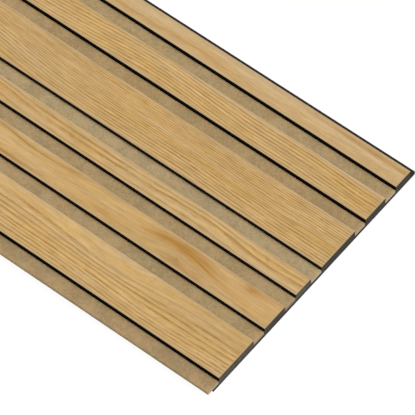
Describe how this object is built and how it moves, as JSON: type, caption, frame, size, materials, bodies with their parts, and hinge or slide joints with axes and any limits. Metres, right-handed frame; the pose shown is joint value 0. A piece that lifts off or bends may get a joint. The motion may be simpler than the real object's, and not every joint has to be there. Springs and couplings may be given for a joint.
{
  "type": "acoustic slat panel",
  "caption": "Flat wall panel of oak faced slats in three widths with felt strips between them, on a thin black board with lap edges.",
  "frame": {"origin": "middle of the underside, halfway along the panel and halfway between the lip's edge and the felt's outer edge", "axes": "+X along the slats, +Y towards the lip edge, +Z out of the slats' faces, away from the wall"},
  "size_m": [2.4, 0.3076, 0.0132],
  "materials": {
    "backing_board": "matte",
    "slat_core": "matte",
    "oak_face": "satin",
    "felt_strip": "matte"
  },
  "bodies": {
    "root": {"backing_board": "backing_board", "slat_core_1": "slat_core", "oak_face_1": "oak_face", "felt_strip_1": "felt_strip", "slat_core_2": "slat_core", "oak_face_2": "oak_face", "felt_strip_2": "felt_strip", "slat_core_3": "slat_core", "oak_face_3": "oak_face", "felt_strip_3": "felt_strip", "slat_core_4": "slat_core", "oak_face_4": "oak_face", "felt_strip_4": "felt_strip", "slat_core_5": "slat_core", "oak_face_5": "oak_face", "felt_strip_5": "felt_strip", "slat_core_6": "slat_core", "oak_face_6": "oak_face", "felt_strip_6": "felt_strip"}
  },
  "joints": []
}
